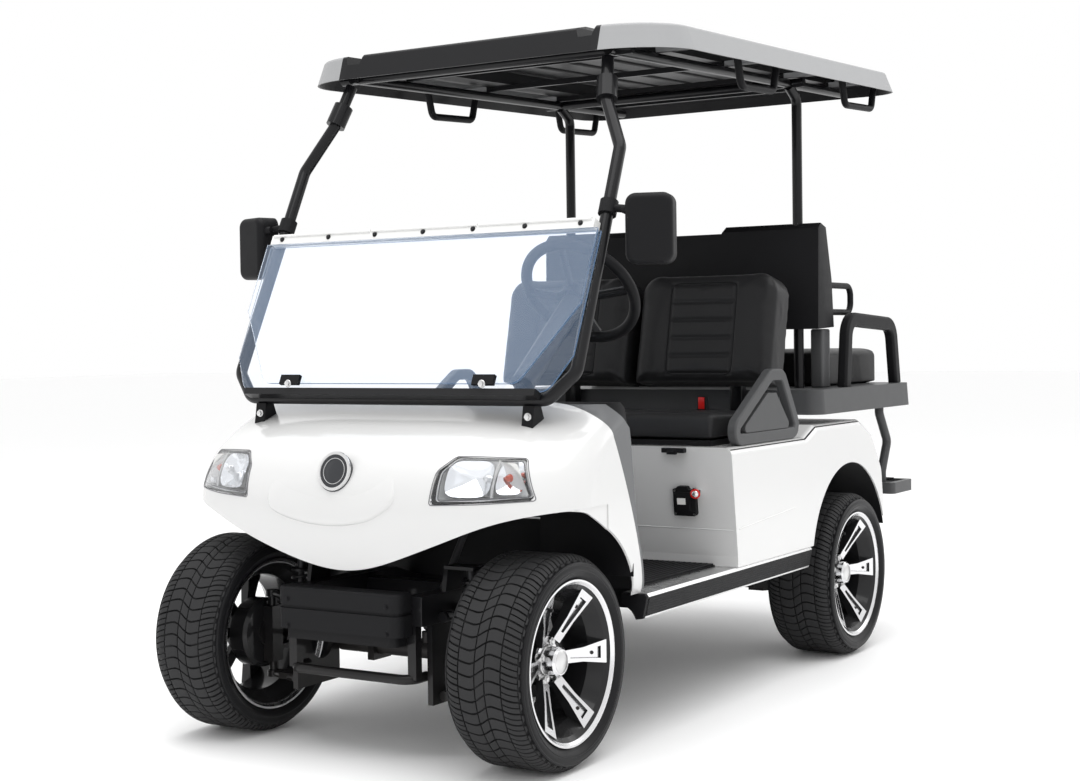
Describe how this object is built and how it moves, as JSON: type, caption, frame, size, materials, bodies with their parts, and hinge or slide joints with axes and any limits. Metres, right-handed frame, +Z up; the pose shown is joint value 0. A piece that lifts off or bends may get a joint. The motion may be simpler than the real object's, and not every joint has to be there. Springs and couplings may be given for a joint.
{
  "type": "golf cart",
  "caption": "Electric golf cart with a moulded body, canopy roof on struts, folding windshield, bench seats facing front and rear, and steered alloy wheels.",
  "frame": {"origin": "on the ground, midway between the front tyres' tread and the footrest's rear edge, on the centre plane", "axes": "+Z up, -Y forward, +X towards the driver's side"},
  "size_m": [1.367, 2.564, 1.8924],
  "materials": {
    "white_body": "gloss white moulded body",
    "black_steel": "satin black powder coat",
    "grey_roof": "dark grey textured plastic",
    "black_plastic": "black textured plastic",
    "grey_plastic": "grey textured plastic",
    "black_vinyl": "black vinyl",
    "clear_pane": "clear acrylic",
    "lamp_lens": "clear lens",
    "lamp_bowl": "reflector",
    "bright_metal": "bright anodised",
    "rim_metal": "machined face, black pockets",
    "mirror_face": "mirror",
    "tyre_rubber": "black tyre rubber",
    "dark_metal": "bare and dark steel",
    "badge_face": "dark disc with bright ring",
    "battery_case": "battery case"
  },
  "bodies": {
    "chassis": {"chassis_frame": "black_steel", "front_subframe": "black_steel", "front_bumper": "black_plastic", "front_cowl": "white_body", "headlamp_housings": "lamp_bowl", "headlamp_lenses": "lamp_lens", "badge_disc": "badge_face", "cowl_trim": "grey_plastic", "dashboard": "black_plastic", "floor_pan": "black_plastic", "sills": "bright_metal", "rear_body": "white_body", "wheel_liners": "black_plastic", "switch_plate": "black_plastic", "canopy_frame": "black_steel", "windshield_panes": "clear_pane", "windshield_strips": "bright_metal", "windshield_clips": "black_plastic", "mirror_housings": "black_plastic", "mirror_glasses": "mirror_face", "roof": "grey_roof", "roof_handles": "black_plastic", "front_backrests": "black_vinyl", "backrest_frame": "black_steel", "front_armrests": "grey_plastic", "armrest_pads": "grey_plastic", "rear_back_shell": "black_plastic", "rear_back_cushion": "black_vinyl", "rear_posts": "grey_plastic", "rear_deck": "grey_plastic", "rear_grips": "black_plastic", "footrest": "grey_plastic", "steering_gear": "dark_metal", "pedals": "black_plastic", "control_arms": "black_steel", "shocks": "dark_metal", "leaf_springs": "dark_metal", "rear_axle": "dark_metal", "battery_pack": "battery_case"},
    "knuckle_left": {"knuckle_l": "black_steel"},
    "knuckle_right": {"knuckle_r": "black_steel"},
    "tie_rod_left": {"tie_rod_l": "dark_metal"},
    "tie_rod_right": {"tie_rod_r": "dark_metal"},
    "front_left_wheel": {"wheel_fl": "rim_metal", "tyre_fl": "tyre_rubber"},
    "front_right_wheel": {"wheel_fr": "rim_metal", "tyre_fr": "tyre_rubber"},
    "rear_left_wheel": {"wheel_rl": "rim_metal", "tyre_rl": "tyre_rubber"},
    "rear_right_wheel": {"wheel_rr": "rim_metal", "tyre_rr": "tyre_rubber"},
    "steering_wheel_body": {"steering_wheel": "black_plastic"},
    "front_seat": {"front_cushion": "black_vinyl", "front_seat_pan": "black_plastic"},
    "rear_seat": {"rear_cushion": "black_vinyl"}
  },
  "joints": [
    {"name": "steer_left", "type": "hinge", "parent": "chassis", "child": "knuckle_left", "pos_m": [0.365, -1.028, 0.254], "axis": [0, 0, 1], "range_deg": [-28, 28]},
    {"name": "steer_right", "type": "hinge", "parent": "chassis", "child": "knuckle_right", "pos_m": [-0.365, -1.028, 0.254], "axis": [0, 0, 1], "range_deg": [-28, 28]},
    {"name": "tie_left", "type": "hinge", "parent": "knuckle_left", "child": "tie_rod_left", "pos_m": [0.365, -0.918, 0.234], "axis": [0, 0, 1], "range_deg": [-28, 28]},
    {"name": "tie_right", "type": "hinge", "parent": "knuckle_right", "child": "tie_rod_right", "pos_m": [-0.365, -0.918, 0.234], "axis": [0, 0, 1], "range_deg": [-28, 28]},
    {"name": "steering_turn", "type": "hinge", "parent": "chassis", "child": "steering_wheel_body", "pos_m": [0.272, -0.503, 1.134], "axis": [0, 0.7771, 0.6293], "range_deg": [-336, 336]},
    {"name": "front_left_spin", "type": "hinge", "parent": "knuckle_left", "child": "front_left_wheel", "pos_m": [0.449, -1.028, 0.254], "axis": [1, 0, 0], "continuous": true},
    {"name": "front_right_spin", "type": "hinge", "parent": "knuckle_right", "child": "front_right_wheel", "pos_m": [-0.449, -1.028, 0.254], "axis": [1, 0, 0], "continuous": true},
    {"name": "rear_left_spin", "type": "hinge", "parent": "chassis", "child": "rear_left_wheel", "pos_m": [0.493, 0.662, 0.254], "axis": [1, 0, 0], "continuous": true},
    {"name": "rear_right_spin", "type": "hinge", "parent": "chassis", "child": "rear_right_wheel", "pos_m": [-0.493, 0.662, 0.254], "axis": [1, 0, 0], "continuous": true},
    {"name": "front_seat_lift", "type": "hinge", "parent": "chassis", "child": "front_seat", "pos_m": [0, 0.268, 0.714], "axis": [-1, 0, 0], "range_deg": [0, 40]},
    {"name": "rear_seat_flip", "type": "hinge", "parent": "chassis", "child": "rear_seat", "pos_m": [0, 1.261, 0.8515], "axis": [-1, 0, 0], "range_deg": [0, 180]}
  ],
  "couplings": [
    {"joint": "steer_right", "follows": "steer_left", "ratio": 1},
    {"joint": "tie_left", "follows": "steer_left", "ratio": -1},
    {"joint": "tie_right", "follows": "steer_left", "ratio": -1},
    {"joint": "steering_turn", "follows": "steer_left", "ratio": 12}
  ]
}
